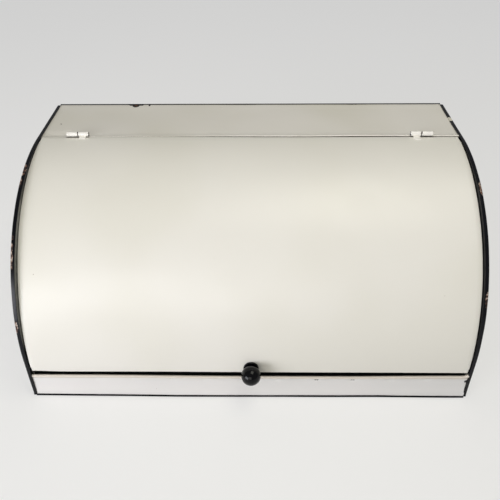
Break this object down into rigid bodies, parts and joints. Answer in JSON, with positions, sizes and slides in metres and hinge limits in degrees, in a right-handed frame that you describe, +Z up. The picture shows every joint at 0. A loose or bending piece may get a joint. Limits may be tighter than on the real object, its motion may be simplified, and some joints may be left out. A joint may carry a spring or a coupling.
{
  "type": "bread box",
  "caption": "Enamelled sheet-steel bread box: flat back and top, quarter-round front closed by one curved lid that hinges up from the top panel, dark folded rims and a ball knob.",
  "frame": {"origin": "bottom centre of the whole box, knob and hinge barrels included", "axes": "+X to the right seen from the front, -Y to the front where the knob is, +Z up"},
  "size_m": [0.46, 0.2827, 0.2141],
  "materials": {
    "cream_enamel": "gloss vitreous enamel over sheet steel",
    "black_enamel": "gloss vitreous enamel over folded steel, chipped",
    "black_lacquer": "gloss stove lacquer on a turned ball",
    "bright_steel": "bright zinc-plated"
  },
  "bodies": {
    "case": {"left_end_panel": "cream_enamel", "right_end_panel": "cream_enamel", "left_hinge_fixed_leaf": "cream_enamel", "right_hinge_fixed_leaf": "cream_enamel", "back_panel": "cream_enamel", "base_panel": "cream_enamel", "top_panel": "cream_enamel", "front_rail": "cream_enamel", "left_rim": "black_enamel", "right_rim": "black_enamel", "left_lid_ledge": "black_enamel", "right_lid_ledge": "black_enamel", "front_base_trim": "black_enamel", "rear_base_trim": "black_enamel", "rear_top_trim": "black_enamel", "sill_strip": "black_enamel", "left_hinge_pin": "bright_steel", "right_hinge_pin": "bright_steel"},
    "lid": {"lid_panel": "cream_enamel", "left_hinge_moving_leaf": "cream_enamel", "right_hinge_moving_leaf": "cream_enamel", "knob": "black_lacquer", "knob_foot": "black_lacquer", "knob_washer": "bright_steel", "knob_screw": "bright_steel"}
  },
  "joints": [
    {"name": "lid_hinge", "type": "hinge", "parent": "case", "child": "lid", "pos_m": [0, 0.06107, 0.2116], "axis": [-1, 0, 0], "range_deg": [0, 190]}
  ]
}
